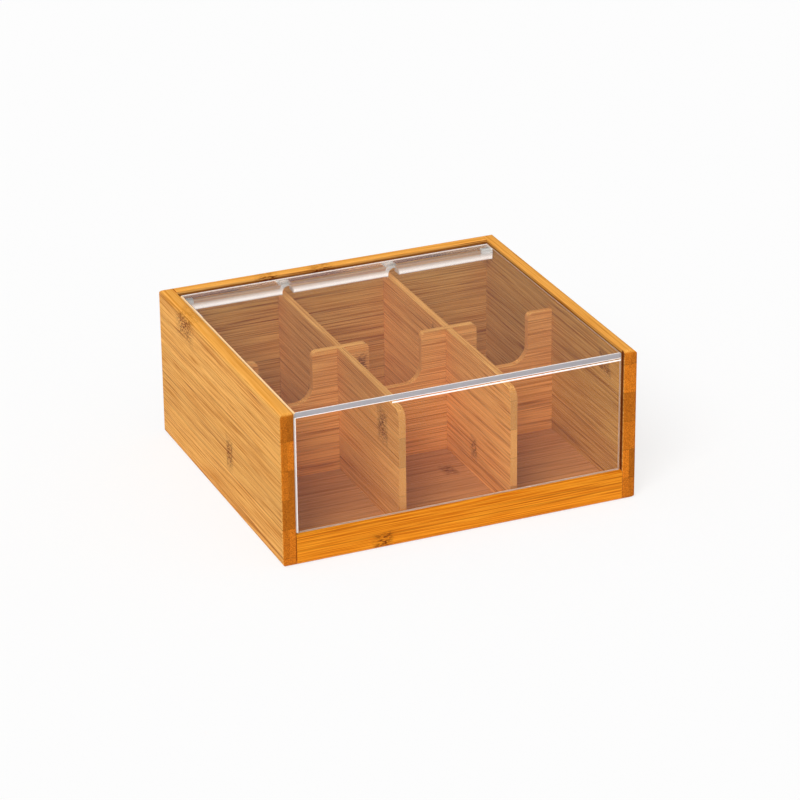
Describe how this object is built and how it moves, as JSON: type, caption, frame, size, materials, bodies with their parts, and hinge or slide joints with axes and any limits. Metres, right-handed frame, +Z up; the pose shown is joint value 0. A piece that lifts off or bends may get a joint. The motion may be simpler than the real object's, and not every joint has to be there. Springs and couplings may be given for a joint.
{
  "type": "tea bag organizer box",
  "caption": "Low bamboo box parted into equal compartments for tea sachets by slotted dividers, with a hinged clear acrylic lid that covers the top and the front.",
  "frame": {"origin": "middle of the footprint, on the table", "axes": "+X to the right as seen from the front, +Y to the back, +Z up"},
  "size_m": [0.21, 0.19, 0.09],
  "materials": {
    "bamboo_side": "satin lacquered bamboo, edge-glued strips",
    "bamboo_back": "satin lacquered bamboo, edge-glued strips",
    "bamboo_rail": "satin lacquered bamboo, honey tone",
    "bamboo_base": "satin bamboo ply",
    "bamboo_divider": "satin bamboo slat",
    "clear_acrylic": "clear polished, saw-cut edges frosted",
    "pin_steel": "ground steel",
    "dowel_wood": "plain beech"
  },
  "bodies": {
    "box": {"left_side_panel": "bamboo_side", "right_side_panel": "bamboo_side", "back_panel": "bamboo_back", "front_rail": "bamboo_rail", "base_panel": "bamboo_base", "left_divider": "bamboo_divider", "right_divider": "bamboo_divider", "cross_divider": "bamboo_divider", "left_hinge_pin": "pin_steel", "right_hinge_pin": "pin_steel", "back_dowels": "dowel_wood", "rail_dowels": "dowel_wood"},
    "lid": {"lid_top_sheet": "clear_acrylic", "lid_front_sheet": "clear_acrylic", "lid_hinge_bar": "clear_acrylic"}
  },
  "joints": [
    {"name": "lid_hinge", "type": "hinge", "parent": "box", "child": "lid", "pos_m": [0, 0.07969, 0.08295], "axis": [-1, 0, 0], "range_deg": [0, 96]}
  ]
}
